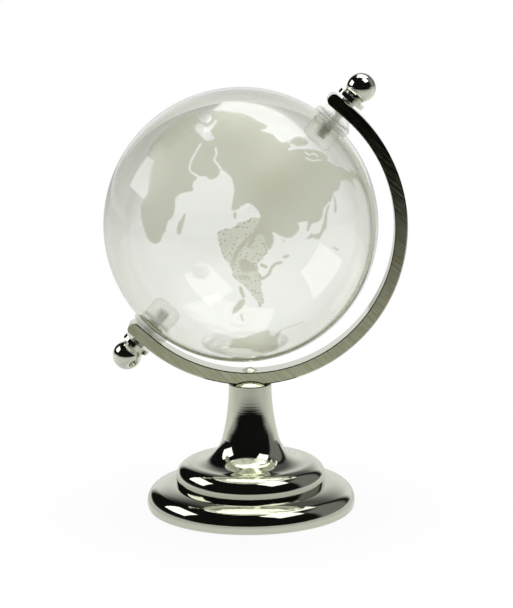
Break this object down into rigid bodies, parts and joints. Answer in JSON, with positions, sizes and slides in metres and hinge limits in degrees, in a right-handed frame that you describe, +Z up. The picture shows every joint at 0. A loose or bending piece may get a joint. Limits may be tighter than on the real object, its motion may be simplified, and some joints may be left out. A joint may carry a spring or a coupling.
{
  "type": "glass desk globe",
  "caption": "Hollow glass globe with frosted continents, turning on a tilted polar axis in a bent metal meridian arm on a stepped, flared metal pedestal.",
  "frame": {"origin": "centre of the underside of the foot pad, on the surface that the globe stands on", "axes": "+Z up; +X in the plane of the meridian arm, towards its closed side and the raised north end; +Y away from the viewer, across the arm"},
  "size_m": [0.0884, 0.08, 0.1288],
  "materials": {
    "pad_foam": "matt black closed-cell foam",
    "polished_nickel": "mirror-polished nickel plate on cast zinc",
    "satin_nickel": "nickel plate, ground side faces and polished edges",
    "plain_steel": "bright zinc-plated steel",
    "nylon": "natural nylon, milky and translucent",
    "clear_glass": "clear blown glass with acid-frosted land",
    "clear_plastic": "translucent moulded plastic"
  },
  "bodies": {
    "stand": {"base_pad": "pad_foam", "foot_tier": "polished_nickel", "pedestal": "polished_nickel", "tie_bolt": "plain_steel", "tie_washer": "plain_steel", "spring_washer": "plain_steel", "meridian_arm": "satin_nickel", "arm_screw": "polished_nickel", "north_finial": "polished_nickel", "south_finial": "polished_nickel", "north_stud": "plain_steel", "south_stud": "plain_steel", "north_spacer": "nylon", "south_spacer": "nylon"},
    "globe": {"glass_globe": "clear_glass", "north_bung": "clear_plastic", "south_bung": "clear_plastic"}
  },
  "joints": [
    {"name": "globe_spin", "type": "hinge", "parent": "stand", "child": "globe", "pos_m": [-0.00222, 0, 0.08486], "axis": [0.6613, 0, 0.7501], "continuous": true}
  ]
}
